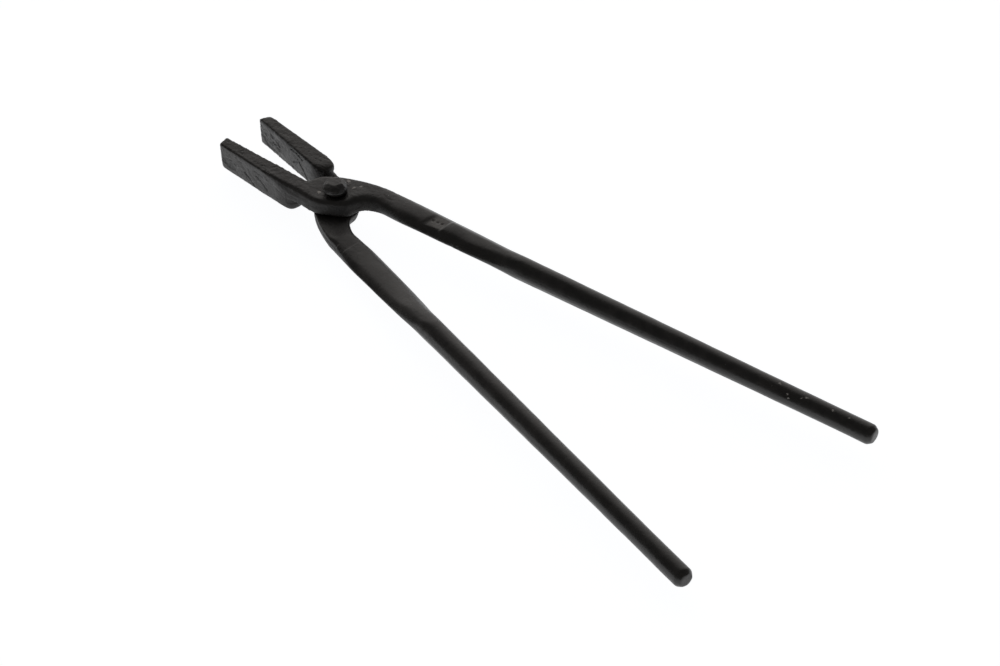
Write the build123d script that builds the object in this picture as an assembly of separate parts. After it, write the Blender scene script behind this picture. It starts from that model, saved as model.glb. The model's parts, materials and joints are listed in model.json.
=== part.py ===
from build123d import *

import os
from math import atan2, cos, degrees, hypot, radians, sin

# Drop-forged flat-jaw tongs: two identical halves, crossed and joined by one rivet.
#
# Frame: Z is the rivet axis, with z = 0 on the flat underside of the rivet's peened head.
# +X points from the rivet to the rein ends, and the jaws reach to -X. The halves lie on
# each other at the height mid_plane, and the lower half is the upper half turned over
# about the X direction through the rivet. All sizes are in millimetres.

# Each boss takes half of the full jaw height.
boss_thickness = 8.2
boss_gap = 0.10
edge_bevel = 0.6

# Jaw corners, seen along the rivet: x, y and corner radius.
grip_tip = (-79.5, -11.5, 0.8)
outer_tip = (-77.5, -18.2, 1.2)
grip_end = (-19.7, -5.0, 4.0)
outer_end = (-19.7, -16.4, 4.5)

# Boss corners on the mid plane, from inside the jaw along the gripping face to the throat,
# round the shoulder and along the back into the neck, then by the crotch and the front.
boss_start_x = -40.0
throat_x = -17.8
throat_round = 1.8
low_corners = (
    (-17.1, 3.0, 7.0),
    (-9.0, 10.8, 15.0),
    (3.8, 18.0, 40.0),
    (20.0, 23.6, 6.0),
    (27.0, 20.5, 1.0),
    (27.0, 14.0, 1.0),
    (23.0, 9.2, 1.0),
    (14.0, 5.0, 8.0),
    (13.5, -4.5, 7.0),
    (-1.7, -14.9, 14.0),
    (-11.2, -15.2, 8.0),
    (-22.2, -16.9, 8.0),
    (boss_start_x, -15.5, 1.0),
)

# The same corners on the top face, drawn in where the walls lean back.
top_corners = (
    (-16.8, 2.6, 7.0),
    (-8.7, 10.3, 15.0),
    (3.8, 17.4, 40.0),
    (20.0, 23.0, 6.0),
    (26.0, 20.5, 1.0),
    (26.0, 16.5, 1.0),
    (22.6, 12.9, 1.0),
    (11.6, 3.6, 6.0),
    (10.8, -3.8, 6.0),
    (-1.7, -14.0, 12.0),
    (-11.2, -14.7, 8.0),
    (-22.2, -15.7, 8.0),
    (boss_start_x, -15.0, 1.0),
)

# Neck sections: place along X, centre line y, half width, top and bottom height over the
# mid plane, corner radius. A flat bar leaves the boss and turns into the round rein.
neck_sections = (
    (18.0, 15.6, 6.2, 8.0, 0.2, 1.4),
    (31.0, 17.8, 7.7, 8.0, 0.2, 2.8),
    (44.0, 20.0, 7.8, 7.5, 0.6, 3.0),
    (58.0, 22.5, 7.6, 6.8, 0.2, 3.1),
    (74.0, 25.6, 7.5, 6.4, -0.4, 3.2),
    (85.0, 27.7, 7.0, 6.3, -1.6, 3.8),
    (98.0, 30.2, 6.4, 6.6, -3.7, 4.9),
)

# Rein: a round taper, then a cylinder, then a bevelled tip.
rein_start = (111.8, 32.4)
rein_end = (320.5, 66.2)
rein_height = 1.0
rein_start_radius = 6.05
rein_end_radius = 5.0
rein_cylinder_length = 36.0
tip_bevel_length = 2.4
tip_face_radius = 3.4

# Rivet: the shank is tight in the lower half and turns in the upper half.
rivet_radius = 4.5
running_clearance = 0.05
head_base_radius = 5.8
head_side_radius = 6.7
head_side_height = 3.8
head_top_radius = 3.6
head_height = 6.4
head_lift = 0.10
peen_base_radius = 7.0
peen_flat_radius = 4.5
peen_height = 4.0
peen_rim = 1.0

mid_plane = peen_height + boss_thickness
rein_length = hypot(rein_end[0] - rein_start[0], rein_end[1] - rein_start[1])
rein_angle = degrees(atan2(rein_end[1] - rein_start[1], rein_end[0] - rein_start[0]))


def rounded_face(corners):
    """Face inside a closed outline, each corner given as x, y and its radius."""
    points = [corner[:2] for corner in corners]
    radii = [corner[2] for corner in corners]
    return make_face(FilletPolyline(*points, radius=radii, close=True))


def on_grip(x):
    """Point of the gripping face at x."""
    slope = (grip_end[1] - grip_tip[1]) / (grip_end[0] - grip_tip[0])
    return x, grip_tip[1] + slope * (x - grip_tip[0])


def boss_face(corners):
    """Outline of the boss, flush with the gripping face from inside the jaw to the throat."""
    grip_corners = ((*on_grip(boss_start_x), 0.0), (*on_grip(throat_x), throat_round))
    return rounded_face(grip_corners + corners)


def boss():
    """Plate round the rivet, with leaning walls and a bevelled top edge."""
    low = boss_face(low_corners)
    top = boss_face(top_corners)
    layers = [
        Pos(0, 0, boss_gap / 2) * low,
        Pos(0, 0, boss_thickness - edge_bevel) * top,
        Pos(0, 0, boss_thickness) * offset(top, -edge_bevel),
    ]
    return loft(layers, ruled=True)


def jaw():
    """Full-height jaw, with a rounded end towards the other half's boss."""
    outline = rounded_face((grip_tip, grip_end, outer_end, outer_tip))
    block = extrude(Pos(0, 0, -boss_thickness) * outline, 2 * boss_thickness)
    rims = block.edges().group_by(Axis.Z)
    return chamfer(rims[0] + rims[-1], edge_bevel)


def neck_section(index):
    """One rounded-rectangle section across the neck's centre line."""
    x, y, half_width, top, bottom, corner = neck_sections[index]
    before = neck_sections[max(index - 1, 0)]
    after = neck_sections[index + 1] if index + 1 < len(neck_sections) else rein_start
    direction = Vector(after[0] - before[0], after[1] - before[1], 0)
    across = Vector(-direction.Y, direction.X, 0)
    plane = Plane(origin=(x, y, (top + bottom) / 2), x_dir=across, z_dir=direction)
    return plane * RectangleRounded(2 * half_width, top - bottom, corner)


def rein_plane(along):
    """Plane square to the rein at a distance along it from its start."""
    turn = radians(rein_angle)
    origin = (rein_start[0] + along * cos(turn), rein_start[1] + along * sin(turn), rein_height)
    return Plane(origin=origin, x_dir=(-sin(turn), cos(turn), 0), z_dir=(cos(turn), sin(turn), 0))


def neck():
    """Flat bar that leaves the boss and turns into the round rein."""
    sections = [neck_section(index) for index in range(len(neck_sections))]
    side = 2 * rein_start_radius
    sections.append(rein_plane(0) * RectangleRounded(side, side, rein_start_radius - 0.02))
    return loft(sections)


def rein():
    """Round handle: taper, cylinder and bevelled tip."""
    cylinder_start = rein_length - tip_bevel_length - rein_cylinder_length
    taper = Solid.make_cone(rein_start_radius, rein_end_radius, cylinder_start, plane=rein_plane(0))
    grip = Solid.make_cylinder(rein_end_radius, rein_cylinder_length, plane=rein_plane(cylinder_start))
    tip_plane = rein_plane(rein_length - tip_bevel_length)
    tip = Solid.make_cone(rein_end_radius, tip_face_radius, tip_bevel_length, plane=tip_plane)
    return taper + grip + tip


def half(bore_radius):
    """One half of the tongs as forged, on the mid plane, with the rivet hole drilled."""
    body = boss() + jaw() + neck() + rein()
    return body - Cylinder(bore_radius, 6 * boss_thickness)


def upper_half():
    """The half on top, which turns on the rivet."""
    return Pos(0, 0, mid_plane) * half(rivet_radius + running_clearance)


def lower_half():
    """The same half turned over, tight on the rivet."""
    return Pos(0, 0, mid_plane) * Rot(180, 0, 0) * half(rivet_radius)


def rivet():
    """Rivet with a bulging head on top and a peened head with a flat underneath."""
    top = mid_plane + boss_thickness + head_lift
    head_side = ThreePointArc(
        (head_base_radius, top),
        (head_side_radius, top + head_side_height),
        (head_top_radius, top + head_height),
    )
    rest_of_outline = Polyline(
        (head_top_radius, top + head_height),
        (0, top + head_height),
        (0, 0),
        (peen_flat_radius, 0),
        (peen_base_radius, peen_height - peen_rim),
        (peen_base_radius, peen_height),
        (rivet_radius, peen_height),
        (rivet_radius, top),
        (head_base_radius, top),
    )
    profile = make_face(head_side + rest_of_outline)
    return revolve(Plane.XZ * profile, Axis.Z)


def main():
    """Write one STEP file for each piece."""
    os.makedirs("parts", exist_ok=True)
    pieces = {"upper_half": upper_half(), "lower_half": lower_half(), "rivet": rivet()}
    for name, piece in pieces.items():
        export_step(piece, f"parts/{name}.step")


main()
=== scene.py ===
"""Black drop-forged tongs on a white studio floor: two forged halves and a hammered rivet.

The halves are shaped in the forging's own frame, in millimetres. Its origin is on the hinge
axis where the halves meet, +X runs to the rein, the jaw lies at -X and the boss rises along
+Z. The lower half is the same forging turned over about X.
"""

import json
import math

import bpy
import numpy as np
from mathutils import Matrix, Vector, noise


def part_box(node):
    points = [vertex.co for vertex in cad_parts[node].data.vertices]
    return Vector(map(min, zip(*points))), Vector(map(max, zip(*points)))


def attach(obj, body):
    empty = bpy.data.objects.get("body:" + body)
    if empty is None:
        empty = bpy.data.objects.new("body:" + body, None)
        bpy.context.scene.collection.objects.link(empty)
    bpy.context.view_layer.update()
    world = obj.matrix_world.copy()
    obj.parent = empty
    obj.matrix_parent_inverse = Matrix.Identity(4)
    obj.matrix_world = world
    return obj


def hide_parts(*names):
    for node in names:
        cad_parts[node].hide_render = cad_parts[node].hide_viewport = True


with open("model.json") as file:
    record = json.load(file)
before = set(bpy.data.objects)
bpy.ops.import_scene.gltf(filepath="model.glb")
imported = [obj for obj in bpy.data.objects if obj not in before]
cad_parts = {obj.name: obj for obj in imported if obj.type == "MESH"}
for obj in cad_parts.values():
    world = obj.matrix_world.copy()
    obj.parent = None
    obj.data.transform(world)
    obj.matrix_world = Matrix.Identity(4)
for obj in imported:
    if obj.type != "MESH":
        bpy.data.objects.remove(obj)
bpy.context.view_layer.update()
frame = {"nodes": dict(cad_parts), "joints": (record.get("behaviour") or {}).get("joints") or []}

MM = 0.001
hinge = Vector(frame["joints"][0]["pos_m"])

# ---------------------------------------------------------------- sizes of the forging

# Height of the boss and of the jaw over the plane where the halves meet.
boss_height = (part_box("upper_half")[1].z - hinge.z) / MM

# Face size of the even meshes, and the noise seed of each half.
half_face = 0.5
rivet_face = 0.25
noise_seed = {"upper_half": 1, "lower_half": 2}

# The neck from the boss to the rein: x, front y, back y, top height, bottom height and the
# radius of its edges. The top edge at the back is rounder by the factor that follows.
neck_rows = (
    (31.0, 10.1, 25.5, 8.0, 0.2, 3.4),
    (44.0, 12.2, 27.9, 7.5, 0.6, 3.8),
    (58.0, 14.9, 30.2, 6.8, 0.2, 3.8),
    (74.0, 18.1, 33.2, 6.4, -0.4, 4.2),
    (98.0, 23.8, 36.7, 6.6, -3.7, 4.8),
    (111.8, 26.3, 38.5, 7.05, -5.05, 4.84),
)
back_rounding = 1.25

# How far the neck's faces fall from the middle to the edges, how far its sides swell in
# turn, and where along x this starts and ends.
neck_crown = 1.1
neck_swell = 0.9
crown_start = (24, 48)
crown_end = (92, 111)

# The boss edges that the hammer left round: x, y, radius, and how far the wall below leans
# out over the boss height.
boss_front_rows = (
    (-46.0, -17.3, 0.4, 0.0),
    (-36.0, -16.4, 0.8, 3.0),
    (-22.2, -14.5, 1.7, 3.4),
    (-11.2, -13.6, 1.7, 2.5),
    (-1.7, -13.1, 1.6, 2.3),
    (10.8, -3.6, 2.0, 3.0),
    (11.6, 3.6, 3.6, 2.4),
    (20.0, 9.2, 5.0, 0.5),
)
boss_back_rows = (
    (-14.0, 5.0, 1.0, 0.0),
    (-8.7, 10.3, 1.6, 0.3),
    (3.8, 17.4, 1.8, 0.6),
    (20.0, 23.0, 2.4, 0.5),
)

# Where the lower edge at the back starts, written like the edge rows below.
low_back_start = (22.0, 23.6, 0.1, 1.0, 0.0)

# Long edges from the boss along the neck: x, y, height of the face, radius and wall lean.
front_top_edge = [(x, y, boss_height, radius, lean) for x, y, radius, lean in boss_front_rows]
front_top_edge += [(x, front, top, radius, 0.0) for x, front, _, top, _, radius in neck_rows]
back_top_edge = [(x, y, boss_height, radius, lean) for x, y, radius, lean in boss_back_rows]
back_top_edge += [(x, back, top, back_rounding * radius, 0.0) for x, _, back, top, _, radius in neck_rows]
back_low_edge = [low_back_start]
back_low_edge += [(x, back, bottom, radius, 0.0) for x, _, back, _, bottom, radius in neck_rows]

# Middle line of the rein, from the end of the neck to the tip.
rein_start = np.array([111.8, 32.4, 1.0])
rein_tip = np.array([320.5, 66.2, 1.0])
rein_direction = (rein_tip - rein_start) / np.linalg.norm(rein_tip - rein_start)
rein_across = np.array([-rein_direction[1], rein_direction[0], 0.0])

# The rein stands a little fuller than its cone, outside a core that stays. The flash strip
# on its sides is torn, spans a turn off the mid height in radians, and fades out along it.
rein_fill = 0.18
rein_fill_start = (-14, 4)
rein_core = 3
seam_height = 0.22
seam_tear = 0.10
seam_tear_size = 1.3
seam_turn = (0.13, 0.24)
seam_fade = (95, 150)

# Bevels hammered on the rein tip: how many, where they start, their tilt off the end face in
# degrees and their distance from the middle line, each with how much it varies.
tip_facets = 7
tip_stretch = 305
tip_tilt = 46
tip_tilt_spread = 7
tip_reach = 3.772
tip_reach_spread = 0.368

# Struck flat on the neck: from the boss side to the shoulder, with its height there, and
# three punched dots in it. Only the top side has them, above the heights given.
flat_start = 49.0
flat_fade = 4
flat_end = 60.8
flat_height = 6.35
shoulder_run = 1.6
shoulder_rise = 0.6
shoulder_fall = (3, 16)
shoulder_side = (4.5, 6.5)
top_side_height = 3
dot_places = ((53.3, 21.4), (56.1, 22.0), (58.9, 22.6))
dot_depth = 0.45
dot_rim = (0.4, 1.1)

# Painted sheen on the struck flat, in the steel colour: middle, half sizes, share and soft rim.
sheen_middle = (flat_end - 4.7, 22.4, flat_height)
sheen_reach = (4.7, 4.6, 1.5)
sheen_share = 0.16
sheen_rim = (0.75, 1.1)

# Softness that forging leaves on the jaw, and what the boss and the neck have on top of it.
jaw_softness = 0.12
boss_softness = 0.38
jaw_root = (-35, -15)
edge_rounds = 4
finish_rounds = 2

# Places that are blended or worn further: middle, reach on each axis and weight.
soft_places = (
    ((26, 16, 4), (8, 14, 9), 0.9),
    ((17, 5, 5), (7, 7, 7), 0.7),
    ((-78, -18, -8), (3.5, 2.5, 3.5), 0.2),
)
most_soft = 0.9
soft_rounds = 40

# The two forgings differ at the heel of the jaw: how worn it is, and its outward shift.
heel_middle = (-19.7, -11.5, -8.2)
heel_reach = (4.5, 8, 4.5)
heel_outward = np.array([0.9, -0.4, 0])
heel_softness = {"upper_half": 0.3, "lower_half": 0.9}
heel_shift = {"upper_half": -0.3, "lower_half": 1.6}
heel_rounds = 60

# What the softening took off the jaw and rein ends is given back over these stretches.
jaw_growth = 0.4
jaw_growth_run = (-70, -78)
rein_growth = 0.6
rein_growth_run = (308, 318)

# ---------------------------------------------------------------- sizes of the forge scale

# Each kind of relief: its size along the surface and its height. Ripples, flakes and cracks
# are drawn out along x.
dent_size = 15.0
dent_height = 0.10
ripple_size = 3.6
ripple_height = 0.10
grit_size = 1.5
grit_height = 0.07
flake_size = 5.0
flake_height = 0.10
crack_size = 9.0
crack_depth = 0.28
drawn_out = np.array([0.55, 1.0, 1.0])

# Noise levels between which a flake rises, a flake ends, a crack closes, and cracks begin
# to show as the ripples rise.
flake_rim = (0.10, 0.17)
flake_end = (0.45, 0.52)
crack_rim = (0.01, 0.05)
crack_cover = (-0.05, 0.2)

# The scale is roughest on the jaw and gets smoother by these shares to the boss and the neck.
boss_smoothing = 0.45
boss_smoothing_run = (-32, -8)
neck_smoothing = 0.42
neck_smoothing_run = (8, 45)

# Thicker, duller scale on the boss walls: strength, upright share of a wall's normal, and
# where along x it starts and ends.
dull_wall = 2.0
wall_upright = (0.3, 0.6)
dull_start = (-34, -24)
dull_end = (22, 45)

# Laps on one side of each jaw, as x and height along the forging: the outer side of the
# upper half's jaw, and the gripping side of the lower half's. They wander in x and height.
lap_side = {"upper_half": -1, "lower_half": 1}
lap_lines = {
    "upper_half": (
        ((-77.0, -2.4), (-73.0, -3.2), (-70.5, -4.6), (-66.0, -3.6)),
        ((-73.5, 0.6), (-69.5, 1.2), (-65.0, 0.2)),
        ((-48.0, 1.6), (-44.5, 0.8), (-42.0, -1.4), (-39.5, -3.8)),
        ((-58.0, -1.0), (-54.0, -3.0), (-50.0, -6.2)),
    ),
    "lower_half": (
        ((-47.0, 2.0), (-43.0, -0.5), (-40.5, -4.0)),
        ((-42.5, -2.6), (-38.0, 1.6), (-34.0, 6.0)),
        ((-49.0, -5.8), (-44.0, -6.6), (-38.0, -4.8)),
    ),
}
lap_rim = (0.15, 0.75)
lap_end = -20
lap_wander = np.array([0.3, 0.5])
lap_wander_size = 1.6

# Patch of broken scale on the same side of each jaw: middle and radii, in x and height. Its
# noise is drawn out along x, and two pairs of levels set its torn rim and its reach.
broken_patch = {
    "upper_half": ((-70.0, -0.8), (5.5, 3.2)),
    "lower_half": ((-70.0, 0.5), (10.0, 6.0)),
}
broken_share = 0.9
broken_size = 2.4
broken_stretch = np.array([0.5, 1.0, 1.0])
broken_rim = (0.55, 0.8)
broken_reach = (0.05, 0.4)

# Bare chips on the upper half: place and radius. The first ones lie round the rivet and on
# the jaw, the others along the rein.
chip_places = (
    (-6.5, -7.0, 8.0, 1.2),
    (-2.5, 10.5, 8.0, 1.2),
    (4.0, 8.5, 8.0, 1.0),
    (6.0, 12.0, 8.0, 0.9),
    (-45.5, 10.0, 8.0, 0.9),
    (267.0, 57.5, 6.0, 0.7),
    (274.0, 55.5, 4.5, 0.6),
    (275.5, 54.5, 3.5, 0.5),
    (283.0, 59.0, 6.0, 0.7),
    (281.5, 57.5, 5.5, 0.6),
    (298.0, 61.5, 6.0, 0.6),
    (307.0, 63.0, 6.0, 0.5),
    (317.0, 64.0, 5.0, 0.6),
)
chip_ragged = 0.55
chip_ragged_size = 0.7
chip_rim = 0.6

# Two nicks in the front rim of the upper half's neck: place and reach. Nicks, laps and
# broken scale are all cut to the same depth.
nick_places = (
    ((71.5, 16.5, 3.0), (1.4, 1.8, 1.1)),
    ((75.0, 17.5, 3.0), (1.0, 1.8, 0.8)),
)
damage_depth = 0.40

# How far the scale stands off the steel, and how far the faces that grip or stop the joint
# are sunk. Round the rivet the scale fades out between two radii.
scale_stand = 0.12
stop_depth = 0.16
rivet_clear = (6.5, 8.0)
bore_radius = 4.8

# Where those faces lie along x, and how far a normal turns to a side to count as facing it.
throat_x = -17.8
bearing_run = (-20, 32)
heel_run = (-24, -15)
boss_stop_run = (-2, 26)
facing_side = 0.6

# ---------------------------------------------------------------- sizes of the rivet

# The head was struck a little to one side, and is drawn in where it meets the boss.
head_lean = np.array([-0.65, -0.75])
head_lean_rise = 2.5
head_undercut = 0.12
head_undercut_run = (0.6, 3.4)

# Rings of hammer facets: count, tilt off level in degrees, and distance from the head's
# middle. Their turn, tilt and distance vary. Middle and start are heights over the boss.
head_facets = ((11, 64, 6.24), (8, 44, 5.56), (6, 24, 4.66))
head_middle = 2.8
head_cut_start = 2
facet_turn = 0.3
facet_turn_spread = 0.35
facet_tilt_spread = 4
facet_uneven = 0.10

# Softness before the facets are cut and after it.
rivet_softness = 0.6
rivet_rounds = 8
facet_softness = 0.4

# The top flat leans a little: tilt, direction, and level over the head's middle.
top_tilt = math.radians(4)
top_direction = (-0.67, 0.74)
top_level = 3.55
bump_size = 1.8
bump_height = 0.06
bump_shift = Vector((5.1, 2.2, 7.9))
rivet_rough = 0.8

# ---------------------------------------------------------------- mesh tools


def mesh_points(mesh):
    """Vertex places of a mesh as an array."""
    flat = np.empty(len(mesh.vertices) * 3, np.float32)
    mesh.vertices.foreach_get("co", flat)
    return flat.reshape(-1, 3).astype(float)


def mesh_normals(mesh):
    """Vertex normals of a mesh as an array."""
    flat = np.empty(len(mesh.vertices) * 3, np.float32)
    mesh.vertex_normals.foreach_get("vector", flat)
    return flat.reshape(-1, 3).astype(float)


def mesh_edges(mesh):
    """Edge ends of a mesh as an array."""
    flat = np.empty(len(mesh.edges) * 2, np.int32)
    mesh.edges.foreach_get("vertices", flat)
    return flat.reshape(-1, 2)


def set_points(mesh, points):
    """Write vertex places back into a mesh."""
    mesh.vertices.foreach_set("co", points.astype(np.float32).ravel())
    mesh.update()


def remeshed(node, size):
    """Closed, even quad mesh of a CAD node, with faces of that size in millimetres."""
    holder = bpy.data.objects.new("remesh_holder", frame["nodes"][node].data.copy())
    bpy.context.scene.collection.objects.link(holder)
    modifier = holder.modifiers.new("remesh", "REMESH")
    modifier.mode = "VOXEL"
    modifier.voxel_size = size * MM
    modifier.adaptivity = 0.0
    graph = bpy.context.evaluated_depsgraph_get()
    result = bpy.data.meshes.new_from_object(holder.evaluated_get(graph))
    bpy.data.objects.remove(holder)
    return result


def relax(points, edges, weight, rounds):
    """Move each point towards the mean of its neighbours, as far as its weight says."""
    ends = np.concatenate([edges[:, 0], edges[:, 1]])
    others = np.concatenate([edges[:, 1], edges[:, 0]])
    count = np.bincount(ends, minlength=len(points))
    for _ in range(rounds):
        sums = [np.bincount(ends, points[others, axis], len(points)) for axis in range(3)]
        mean = np.stack(sums, axis=1) / count[:, None]
        points = points + weight[:, None] * (mean - points)
    return points


def step(value, low, high):
    """Smooth step from 0 at low to 1 at high."""
    share = np.clip((value - low) / (high - low), 0, 1)
    return share * share * (3 - 2 * share)


def between(value, low, high):
    """True where a value lies between two others."""
    return (value > low) & (value < high)


def field(points, function):
    """Value of a noise function at each point."""
    return np.array([function(Vector(point)) for point in points])


def plain_noise(points, shift):
    """Soft noise at each point, taken from a shifted place."""
    return field(points, lambda point: noise.noise(point + shift))


def broken_noise(points, shift, fall):
    """Noise with finer noise on it, which is weaker as the fall is larger."""
    return field(points, lambda point: noise.fractal(point + shift, fall, 2.0, 4))


def near_point(points, centre, radius):
    """Soft ball: 1 at the centre, falling to nothing past the radius on each axis."""
    share = (points - np.array(centre)) / np.array(radius)
    return np.exp(-(share**2).sum(1))


def cut_flat(points, normal, level, chosen):
    """Push chosen points that stand past a plane back onto it."""
    normal = np.array(normal) / np.linalg.norm(normal)
    past = points @ normal - level
    past = np.where(chosen & (past > 0), past, 0)
    return points - past[:, None] * normal


def finish_mesh(mesh, **looks):
    """Store the numbers that the material reads at each vertex, and shade the mesh smooth."""
    for name, values in looks.items():
        attribute = mesh.attributes.new(name, "FLOAT", "POINT")
        attribute.data.foreach_set("value", values.astype(np.float32))
    for polygon in mesh.polygons:
        polygon.use_smooth = True


# ---------------------------------------------------------------- form of the halves


def to_half(points, turned):
    """The part's frame in metres to the forging's own frame in millimetres."""
    own = (points - np.array(hinge)) / MM
    return own * (1, -1, -1) if turned else own


def to_part(points, turned):
    """The forging's own frame back to the part's frame."""
    own = points * (1, -1, -1) if turned else points
    return own * MM + np.array(hinge)


def smooth_path(path, rounds=3):
    """Cut the corners off a path again and again, which leaves soft curves."""
    path = np.array(path, float)
    for _ in range(rounds):
        before = path[:-1] * 0.75 + path[1:] * 0.25
        after = path[:-1] * 0.25 + path[1:] * 0.75
        inner = np.stack([before, after], axis=1).reshape(-1, path.shape[1])
        path = np.concatenate([path[:1], inner, path[-1:]])
    return path


def nearest_on_path(points, path):
    """For each point in plan: the nearest row of values on the path and its direction."""
    start = path[:-1]
    run = path[1:] - start
    flat = run[:, :2]
    length = (flat**2).sum(1)
    best = np.full(len(points), np.inf)
    values = np.zeros((len(points), path.shape[1]))
    direction = np.zeros((len(points), 2))
    for index in range(len(run)):
        share = np.clip((points[:, :2] - start[index, :2]) @ flat[index] / length[index], 0, 1)
        row = start[index] + share[:, None] * run[index]
        distance = ((points[:, :2] - row[:, :2]) ** 2).sum(1)
        closer = distance < best
        best[closer] = distance[closer]
        values[closer] = row[closer]
        direction[closer] = flat[index] / math.sqrt(length[index])
    return values, direction


def round_edge(points, path, side, face):
    """Pull a long edge back to a round one.

    The solid lies to the left of the path for side 1 and to the right for -1, under the face
    for face 1 and over it for -1. Points up to 3 past the edge and 2 past the face follow.
    """
    values, direction = nearest_on_path(points, smooth_path(path))
    inward = np.stack([-direction[:, 1], direction[:, 0]], axis=1) * side
    radius = values[:, 3]
    depth = (values[:, 2] - points[:, 2]) * face
    inside = ((points[:, :2] - values[:, :2]) * inward).sum(1)
    inside = inside + values[:, 4] * np.clip(depth, 0, None) / boss_height
    from_centre_in = radius - inside
    from_centre_up = radius - depth
    distance = np.hypot(from_centre_in, from_centre_up)
    ends = (points[:, 0] > path[0][0]) & (points[:, 0] < path[-1][0])
    near = ends & (inside > -3) & (depth > -2)
    outside = near & (from_centre_in > 0) & (from_centre_up > 0) & (distance > radius)
    shrink = np.where(outside, radius / np.maximum(distance, 1e-6), 1.0)
    leaning = near & ~outside & (inside < 0) & (values[:, 4] > 0) & (depth > 0)
    result = points.copy()
    result[:, :2] += inward * (np.where(leaning, -inside, from_centre_in * (1 - shrink)))[:, None]
    result[:, 2] -= face * np.where(leaning, 0, from_centre_up * (1 - shrink))
    return result


def crowned_neck(points):
    """Dome both faces of the neck, which the drop hammer leaves fuller in the middle."""
    rows = np.array(neck_rows)
    x = points[:, 0]
    front, back, top, bottom = [np.interp(x, rows[:, 0], rows[:, column]) for column in (1, 2, 3, 4)]
    across = np.clip((2 * points[:, 1] - front - back) / (back - front), -1, 1)
    strength = step(x, *crown_start) * (1 - step(x, *crown_end))
    fall = neck_crown * across**2 * strength / ((top - bottom) / 2)
    middle = (top + bottom) / 2
    result = points.copy()
    result[:, 1] += neck_swell * across**5 * strength
    result[:, 2] = middle + (points[:, 2] - middle) * (1 - fall)
    return result


def trimmed_seam(points):
    """Torn strip along both sides of the rein, where the forging flash was trimmed off."""
    from_start = points - rein_start
    along = from_start @ rein_direction
    side = from_start @ rein_across
    up = from_start[:, 2]
    distance = np.maximum(np.hypot(side, up), 1e-6)
    turn = np.arcsin(np.clip(np.abs(up) / distance, 0, 1))
    torn = field(points / seam_tear_size, noise.noise)
    strip = (1 - step(turn, *seam_turn)) * (1 - step(along, *seam_fade))
    grow = rein_fill + strip * (seam_height + seam_tear * torn)
    grow = grow * step(along, *rein_fill_start) * (distance > rein_core)
    result = points + (side / distance * grow)[:, None] * rein_across
    result[:, 2] += up / distance * grow
    return result


def blended_places(points, edges):
    """Grow the neck out of the boss without a seam, and wear the jaw's lower tip corner."""
    weight = sum(share * near_point(points, centre, reach) for centre, reach, share in soft_places)
    return relax(points, edges, np.clip(weight, 0, most_soft), soft_rounds)


def worn_heel(points, edges, node):
    """Wear and shift the lower heel of the jaw, as far as this half's was."""
    heel = near_point(points, heel_middle, heel_reach)
    points = relax(points, edges, np.clip(heel_softness[node] * heel, 0, most_soft), heel_rounds)
    return points + heel[:, None] * heel_outward * heel_shift[node]


def struck_flat(points):
    """Flat patch with three punched dots, and the shoulder that rises behind it."""
    x, y, z = points.T
    top_side = z > top_side_height
    along = step(x, flat_start, flat_start + flat_fade) * (x < flat_end)
    result = points.copy()
    result[:, 2] -= np.clip(z - flat_height, 0, None) * along * top_side
    behind = x - flat_end
    shoulder = step(behind, 0, shoulder_run) * (1 - step(behind, *shoulder_fall))
    result[:, 2] += shoulder_rise * shoulder * step(z, *shoulder_side)
    for place_x, place_y in dot_places:
        gap = np.hypot(x - place_x, y - place_y)
        result[:, 2] -= dot_depth * (1 - step(gap, *dot_rim)) * top_side
    return result


def faceted_tip(points, seed):
    """Rough bevels hammered on the end of the rein, uneven by a few sines."""
    chosen = points[:, 0] > tip_stretch
    upward = np.array([0, 0, 1.0])
    for index in range(tip_facets):
        turn = 2 * math.pi * index / tip_facets + 0.4 * seed
        tilt = math.radians(tip_tilt + tip_tilt_spread * math.sin(2.3 * index + seed))
        radial = rein_across * math.cos(turn) + upward * math.sin(turn)
        normal = rein_direction * math.cos(tilt) + radial * math.sin(tilt)
        reach = tip_reach + tip_reach_spread * math.sin(1.7 * index + 2 * seed)
        points = cut_flat(points, normal, rein_tip @ normal + reach * math.sin(tilt), chosen)
    return points


def full_length(points):
    """Give back what the softening took off the jaw and rein ends."""
    result = points.copy()
    result[:, 0] -= jaw_growth * step(result[:, 0], *jaw_growth_run)
    result[:, 0] += rein_growth * step(result[:, 0], *rein_growth_run)
    return result


def forged_form(points, edges, node):
    """The whole form of one half, without its scale."""
    points = round_edge(points, front_top_edge, 1, 1)
    points = round_edge(points, back_low_edge, -1, -1)
    points = round_edge(points, back_top_edge, -1, 1)
    points = crowned_neck(points)
    points = trimmed_seam(points)
    softness = jaw_softness + boss_softness * step(points[:, 0], *jaw_root)
    points = relax(points, edges, softness, edge_rounds)
    points = blended_places(points, edges)
    points = worn_heel(points, edges, node)
    points = struck_flat(points)
    points = faceted_tip(points, noise_seed[node])
    points = relax(points, edges, softness / 2, finish_rounds)
    return full_length(points)


# ---------------------------------------------------------------- scale of the halves


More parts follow.
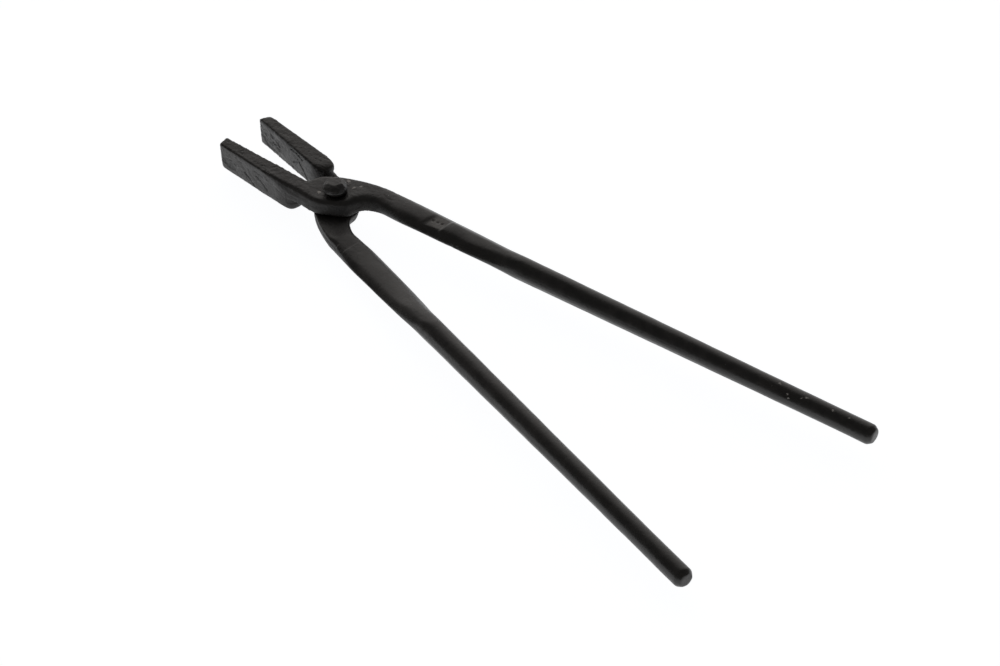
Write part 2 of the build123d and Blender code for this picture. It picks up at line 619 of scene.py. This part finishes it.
def scale_relief(points, seed):
    """Height of the forge scale: slow dents, a fine skin, and flakes and cracks."""
    shift = Vector((seed * 37.1, seed * 11.7, seed * 5.3))
    x = points[:, 0]
    rough = 1 - boss_smoothing * step(x, *boss_smoothing_run)
    rough = rough - neck_smoothing * step(x, *neck_smoothing_run)
    dents = plain_noise(points / dent_size, shift)
    ripples = plain_noise(points * drawn_out / ripple_size, shift * 1.3)
    grit = plain_noise(points / grit_size, shift * 1.7)
    flake = broken_noise(points * drawn_out / flake_size, shift * 0.7, 1.0)
    crack = np.abs(broken_noise(points * drawn_out / crack_size, shift * 2.1, 0.9))
    flakes = step(flake, *flake_rim) - step(flake, *flake_end)
    cracks = (1 - step(crack, *crack_rim)) * step(ripples, *crack_cover)
    skin = ripple_height * ripples + grit_height * grit + flake_height * flakes - crack_depth * cracks
    return dent_height * dents + rough * skin, rough, flakes, cracks


def dull_walls(points, normals):
    """Extra roughness of the boss walls, whose scale is thicker."""
    wall = 1 - step(np.abs(normals[:, 2]), *wall_upright)
    on_boss = step(points[:, 0], *dull_start) * (1 - step(points[:, 0], *dull_end))
    return dull_wall * wall * on_boss


def segment_gap(flat, start, end):
    """Distance of points in a plane from a straight segment."""
    run = np.array(end) - np.array(start)
    share = np.clip((flat - np.array(start)) @ run / (run @ run), 0, 1)
    return np.linalg.norm(flat - np.array(start) - share[:, None] * run, axis=1)


def broken_scale(points, flat, node):
    """How far each point lies in the torn patch of broken scale, from 0 to 1."""
    centre, radii = broken_patch[node]
    share = (flat - np.array(centre)) / np.array(radii)
    patch = np.exp(-((share**2).sum(1) ** 2))
    torn = broken_noise(points * broken_stretch / broken_size, Vector(), 0.8)
    return broken_share * step(torn + patch, *broken_rim) * step(patch, *broken_reach)


def lap_share(points, normals, node):
    """How far each point lies in a lap or the broken patch of its jaw, from 0 to 1."""
    facing = normals[:, 1] * lap_side[node] > facing_side
    wander = field(points / lap_wander_size, noise.noise)
    flat = points[:, (0, 2)] + wander[:, None] * lap_wander
    share = broken_scale(points, flat, node)
    for line in lap_lines[node]:
        for start, end in zip(line[:-1], line[1:]):
            share = np.maximum(share, 1 - step(segment_gap(flat, start, end), *lap_rim))
    return share * facing * (points[:, 0] < lap_end)


def damage_share(points, normals, node):
    """Laps and broken scale of a half's jaw, and the nicks in the upper half's neck."""
    share = lap_share(points, normals, node)
    if node == "upper_half":
        for centre, reach in nick_places:
            share = np.maximum(share, near_point(points, centre, reach))
    return share


def scale_lift(points, normals, height):
    """How far the scale stands off the steel.

    It stays off the rivet and doesn't rise on the face that bears on the other half. The
    gripping face, the heel and the boss edge that stop the joint are sunk a little.
    """
    x, y, z = points.T
    lift = (height + scale_stand) * step(np.hypot(x, y), *rivet_clear)
    bearing = between(x, *bearing_run) & (z < 1.5) & (normals[:, 2] < -0.7)
    lift = np.where(bearing, np.minimum(lift, 0), lift)
    gripping = (normals[:, 1] > facing_side) & (x < throat_x)
    heel_stop = between(x, *heel_run) & (np.abs(z) < 3.5)
    boss_stop = between(x, *boss_stop_run) & (z < 3) & (normals[:, 1] > 0.3)
    stops = gripping | heel_stop | boss_stop
    return np.where(stops, np.minimum(height - stop_depth, -stop_depth / 2), lift)


def cleared_bore(points):
    """Keep the bore clear of the rivet's shank."""
    radius = np.hypot(points[:, 0], points[:, 1])
    result = points.copy()
    result[:, :2] *= np.maximum(1, bore_radius / np.maximum(radius, 0.1))[:, None]
    return result


def steel_chips_and_sheen(points, node):
    """Share of the steel colour on the upper half: chipped spots with ragged rims, and a painted sheen on
    the struck flat.
    """
    bare_and_sheen = np.zeros(len(points))
    if node != "upper_half":
        return bare_and_sheen
    ragged = chip_ragged * field(points / chip_ragged_size, noise.noise)
    for x, y, z, radius in chip_places:
        gap = np.linalg.norm(points - np.array([x, y, z]), axis=1) + ragged
        bare_and_sheen = np.maximum(bare_and_sheen, 1 - step(gap, radius * chip_rim, radius))
    from_middle = (np.abs(points - np.array(sheen_middle)) / np.array(sheen_reach)).max(axis=1)
    # The struck flat gets a painted sheen in the steel colour.
    return np.maximum(bare_and_sheen, sheen_share * (1 - step(from_middle, *sheen_rim)))


def forged_mesh(node):
    """Forged copy of one half: its form, with uneven scale, laps, chipped spots and the painted sheen of
    the struck flat.
    """
    turned = node == "lower_half"
    mesh = remeshed(node, half_face)
    points = forged_form(to_half(mesh_points(mesh), turned), mesh_edges(mesh), node)
    set_points(mesh, to_part(points, turned))
    normals = mesh_normals(mesh) * ((1, -1, -1) if turned else (1, 1, 1))
    height, rough, flakes, cracks = scale_relief(points, noise_seed[node])
    rough = rough + dull_walls(points, normals)
    damage = damage_share(points, normals, node)
    # Laps, broken scale and nicks join the cracks, which the material darkens with painted shade.
    cracks = np.maximum(cracks, damage)
    lift = scale_lift(points, normals, height - damage_depth * damage)
    points = cleared_bore(points + normals * lift[:, None])
    set_points(mesh, to_part(points, turned))
    # The last values carry the chips and the painted sheen of the struck flat.
    finish_mesh(mesh, rough=rough, flake=flakes, crack=cracks * rough, speck=steel_chips_and_sheen(points, node))
    return mesh


# ---------------------------------------------------------------- rivet


def leaning_head(points):
    """Shift the head to one side, and draw it in where it meets the boss."""
    result = points.copy()
    height = points[:, 2] - boss_height
    lean = step(height, 0, head_lean_rise)[:, None] * head_lean
    result[:, :2] += lean
    drawn_in = head_undercut * (1 - step(height, *head_undercut_run)) * (height > 0)
    result[:, :2] -= (result[:, :2] - lean) * drawn_in[:, None]
    return result


def hammered_head(points):
    """Cut rings of uneven hammer facets and the leaning top flat on the head."""
    centre = np.array([*head_lean, boss_height + head_middle])
    upper = points[:, 2] > boss_height + head_cut_start
    for count, tilt, level in head_facets:
        for index in range(count):
            turn = 2 * math.pi * (index + facet_turn_spread * math.sin(5 * index + tilt)) / count
            turn += facet_turn
            lean = math.radians(tilt + facet_tilt_spread * math.sin(2.1 * index))
            normal = (math.cos(turn) * math.sin(lean), math.sin(turn) * math.sin(lean), math.cos(lean))
            uneven = facet_uneven * math.sin(3.7 * index + tilt)
            points = cut_flat(points, normal, centre @ np.array(normal) + level + uneven, upper)
    aside = math.sin(top_tilt)
    normal = np.array([top_direction[0] * aside, top_direction[1] * aside, math.cos(top_tilt)])
    return cut_flat(points, normal, centre @ normal + top_level, upper)


def rivet_mesh():
    """Hammered rivet: the CAD rivet with a battered, off-centre head."""
    mesh = remeshed("rivet", rivet_face)
    points = to_half(mesh_points(mesh), False)
    edges = mesh_edges(mesh)
    points = relax(points, edges, np.full(len(points), rivet_softness), rivet_rounds)
    points = hammered_head(leaning_head(points))
    points = relax(points, edges, np.full(len(points), facet_softness), finish_rounds)
    set_points(mesh, to_part(points, False))
    bumps = bump_height * plain_noise(points / bump_size, bump_shift)
    points = points + mesh_normals(mesh) * bumps[:, None]
    set_points(mesh, to_part(points, False))
    none = np.zeros(len(points))
    finish_mesh(mesh, rough=none + rivet_rough, flake=none, crack=none, speck=none)
    return mesh


# ---------------------------------------------------------------- materials

# Colours of the scale and its flakes, the painted shade in its cracks, laps and nicks, and the steel
# under it, which also paints a sheen on the struck flat.
black_scale_colour = (0.0055, 0.0052, 0.005, 1)
brown_scale_colour = (0.0125, 0.0108, 0.0098, 1)
flake_colour = (0.022, 0.020, 0.019, 1)
crack_shade_colour = (0.002, 0.002, 0.002, 1)
steel_and_sheen_colour = (0.50, 0.48, 0.46, 1)

# Noise scales, in waves to the metre, and heights of the two layers of bumps in metres.
patch_scale = 160
ripple_scale = 260
dust_scale = 420
grain_scale = 700
ripple_bump = 0.0009
grain_bump = 0.0004


def attribute_value(tree, name):
    """Node that reads a vertex attribute."""
    node = tree.nodes.new("ShaderNodeAttribute")
    node.attribute_name = name
    return node.outputs["Fac"]


def noise_value(tree, place, scale, detail, roughness=0.55):
    """Noise node on object coordinates."""
    node = tree.nodes.new("ShaderNodeTexNoise")
    node.inputs["Scale"].default_value = scale
    node.inputs["Detail"].default_value = detail
    node.inputs["Roughness"].default_value = roughness
    tree.links.new(place, node.inputs["Vector"])
    return node.outputs["Fac"]


def mapped(tree, value, low, high, to_low, to_high):
    """Map Range node."""
    node = tree.nodes.new("ShaderNodeMapRange")
    node.inputs["From Min"].default_value = low
    node.inputs["From Max"].default_value = high
    node.inputs["To Min"].default_value = to_low
    node.inputs["To Max"].default_value = to_high
    tree.links.new(value, node.inputs["Value"])
    return node.outputs["Result"]


def mixed(tree, share, first, second):
    """Mix two colours by a value. A colour is a tuple or a socket."""
    node = tree.nodes.new("ShaderNodeMix")
    node.data_type = "RGBA"
    tree.links.new(share, node.inputs["Factor"])
    for value, socket in ((first, node.inputs["A"]), (second, node.inputs["B"])):
        if isinstance(value, tuple):
            socket.default_value = value
        else:
            tree.links.new(value, socket)
    return node.outputs["Result"]


def maths(tree, operation, first, second):
    """Math node on two values, each a number or a socket."""
    node = tree.nodes.new("ShaderNodeMath")
    node.operation = operation
    for index, value in enumerate((first, second)):
        if isinstance(value, (int, float)):
            node.inputs[index].default_value = value
        else:
            tree.links.new(value, node.inputs[index])
    return node.outputs["Value"]


def bump_layer(tree, height, strength, distance):
    """Bump node of a height, with a strength that may vary."""
    node = tree.nodes.new("ShaderNodeBump")
    node.inputs["Distance"].default_value = distance
    tree.links.new(strength, node.inputs["Strength"])
    tree.links.new(height, node.inputs["Height"])
    return node


def scale_colour(tree, patches, chips_and_sheen):
    """Black to brown scale, paler flakes, painted shade in cracks, laps and nicks, and the steel colour
    of chipped spots and of the painted sheen on the struck flat.
    """
    base = mixed(tree, mapped(tree, patches, 0.35, 0.7, 0, 1), black_scale_colour, brown_scale_colour)
    flakes = maths(tree, "MULTIPLY", attribute_value(tree, "flake"), 0.35)
    base = mixed(tree, flakes, base, flake_colour)
    # Painted shade: the cracks, laps, broken scale and nicks are darkened towards black.
    base = mixed(tree, attribute_value(tree, "crack"), base, crack_shade_colour)
    # The steel colour paints the chips and dust, and a sheen on the struck flat.
    return mixed(tree, chips_and_sheen, base, steel_and_sheen_colour)


def scale_gloss(tree, patches, rough, chips_and_sheen):
    """Roughness: an uneven film of oil, duller on rough scale, on chipped steel and under the painted
    sheen of the struck flat.
    """
    gloss = mapped(tree, patches, 0.3, 0.7, 0.26, 0.40)
    gloss = maths(tree, "ADD", gloss, maths(tree, "MULTIPLY", rough, 0.10))
    return maths(tree, "ADD", gloss, maths(tree, "MULTIPLY", chips_and_sheen, 0.3))


def scale_bumps(tree, place, rough):
    """Ripples and grain in the surface, stronger where the scale is rough."""
    ripple_strength = mapped(tree, rough, 0.0, 1.0, 0.03, 0.24)
    ripples = bump_layer(tree, noise_value(tree, place, ripple_scale, 3), ripple_strength, ripple_bump)
    grain_strength = mapped(tree, rough, 0.0, 1.0, 0.10, 0.50)
    grain = bump_layer(tree, noise_value(tree, place, grain_scale, 6, 0.6), grain_strength, grain_bump)
    tree.links.new(ripples.outputs["Normal"], grain.inputs["Normal"])
    return grain.outputs["Normal"]


def scale_material(name):
    """Black forge scale with a thin film of oil, grey where it has chipped, with a painted sheen on the
    struck flat and painted shade in the cracks, laps and nicks.
    """
    material = bpy.data.materials.new(name)
    material.use_nodes = True
    tree = material.node_tree
    shader = tree.nodes["Principled BSDF"]
    shader.inputs["IOR"].default_value = 1.5
    place = tree.nodes.new("ShaderNodeTexCoord").outputs["Object"]
    rough = attribute_value(tree, "rough")
    patches = noise_value(tree, place, patch_scale, 4)
    dust = mapped(tree, noise_value(tree, place, dust_scale, 2), 0.76, 0.79, 0, 0.6)
    # Dust specks and chips, with the painted sheen of the struck flat.
    chips_and_sheen = maths(tree, "MAXIMUM", dust, attribute_value(tree, "speck"))
    tree.links.new(scale_colour(tree, patches, chips_and_sheen), shader.inputs["Base Color"])
    tree.links.new(scale_gloss(tree, patches, rough, chips_and_sheen), shader.inputs["Roughness"])
    tree.links.new(scale_bumps(tree, place, rough), shader.inputs["Normal"])
    return material


def floor_material():
    """White floor, lit partly from below as on a light table."""
    material = bpy.data.materials.new("white_floor")
    material.use_nodes = True
    shader = material.node_tree.nodes["Principled BSDF"]
    shader.inputs["Base Color"].default_value = (0.18, 0.185, 0.19, 1)
    shader.inputs["Roughness"].default_value = 0.9
    shader.inputs["Specular IOR Level"].default_value = 0.0
    shader.inputs["Emission Color"].default_value = (0.985, 0.99, 1.0, 1)
    shader.inputs["Emission Strength"].default_value = 0.975
    return material


# ---------------------------------------------------------------- stage, light and camera

# Half the side of the floor, in metres.
floor_reach = 6.0

# Light from the far wall: how squarely a direction points at it, from dark to bright, and
# the strength at either end.
wall_edge = (0.42, 0.80)
wall_strength = (0.14, 0.92)
wall_colour = (1.0, 0.96, 0.93, 1)

# The camera's angles, and the distance in metres of a point by the rivet to the right of,
# above and beyond its centre.
view_azimuth = math.radians(47.62)
view_drop = math.radians(41.79)
view_roll = math.radians(-1.64)
aim = hinge + Vector((0.0018, 0, 0))
aim_right = -0.08607
aim_up = 0.06893
aim_away = 1.41885
lens_mm = 94.81
sensor_mm = 36.0

forward_flat = Vector((-math.sin(view_azimuth), math.cos(view_azimuth), 0))


def add_floor():
    """Wide floor at the height of the peened head's flat."""
    corners = [(x * floor_reach, y * floor_reach, 0) for x, y in ((-1, -1), (1, -1), (1, 1), (-1, 1))]
    mesh = bpy.data.meshes.new("floor")
    mesh.from_pydata(corners, [], [(0, 1, 2, 3)])
    floor = bpy.data.objects.new("floor", mesh)
    bpy.context.scene.collection.objects.link(floor)
    mesh.materials.append(floor_material())


def add_world():
    """Dark studio with one bright wall on the far side."""
    world = bpy.data.worlds.new("tent")
    bpy.context.scene.world = world
    world.use_nodes = True
    nodes = world.node_tree.nodes
    links = world.node_tree.links
    background = nodes["Background"]
    background.inputs["Color"].default_value = wall_colour
    direction = nodes.new("ShaderNodeTexCoord").outputs["Generated"]
    towards_wall = nodes.new("ShaderNodeVectorMath")
    towards_wall.operation = "DOT_PRODUCT"
    towards_wall.inputs[1].default_value = forward_flat
    links.new(direction, towards_wall.inputs[0])
    ramp = nodes.new("ShaderNodeMapRange")
    ramp.interpolation_type = "SMOOTHSTEP"
    ramp.inputs["From Min"].default_value = wall_edge[0]
    ramp.inputs["From Max"].default_value = wall_edge[1]
    ramp.inputs["To Min"].default_value = wall_strength[0]
    ramp.inputs["To Max"].default_value = wall_strength[1]
    links.new(towards_wall.outputs["Value"], ramp.inputs["Value"])
    links.new(ramp.outputs["Result"], background.inputs["Strength"])


def add_camera():
    """Camera that looks down on the rivet side, with the reins towards it."""
    scene = bpy.context.scene
    data = bpy.data.cameras.new("camera")
    data.sensor_width = sensor_mm
    data.lens = lens_mm
    data.clip_start = 0.05
    data.clip_end = 50
    forward = forward_flat * math.cos(view_drop) - Vector((0, 0, math.sin(view_drop)))
    level_right = Vector((math.cos(view_azimuth), math.sin(view_azimuth), 0))
    level_up = level_right.cross(forward)
    right = level_right * math.cos(view_roll) + level_up * math.sin(view_roll)
    up = -level_right * math.sin(view_roll) + level_up * math.cos(view_roll)
    place = aim - (right * aim_right + up * aim_up + forward * aim_away)
    camera = bpy.data.objects.new("camera", data)
    rotation = Matrix((right, up, -forward)).transposed()
    camera.matrix_world = Matrix.Translation(place) @ rotation.to_4x4()
    scene.collection.objects.link(camera)
    scene.camera = camera


# ---------------------------------------------------------------- build


def add_piece(name, mesh, material, node, body):
    """Put a finished mesh in the scene in place of its CAD node."""
    mesh.materials.clear()
    mesh.materials.append(material)
    piece = bpy.data.objects.new(name, mesh)
    bpy.context.scene.collection.objects.link(piece)
    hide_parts(node)
    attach(piece, body)


black_scale = scale_material("black_scale")
for body in ("upper", "lower"):
    half = f"{body}_half"
    add_piece(f"forged_{half}", forged_mesh(half), black_scale, half, body)
add_piece("hammered_rivet", rivet_mesh(), scale_material("rivet_black"), "rivet", "lower")

add_floor()
add_world()
add_camera()

bpy.context.scene.view_settings.view_transform = "Standard"
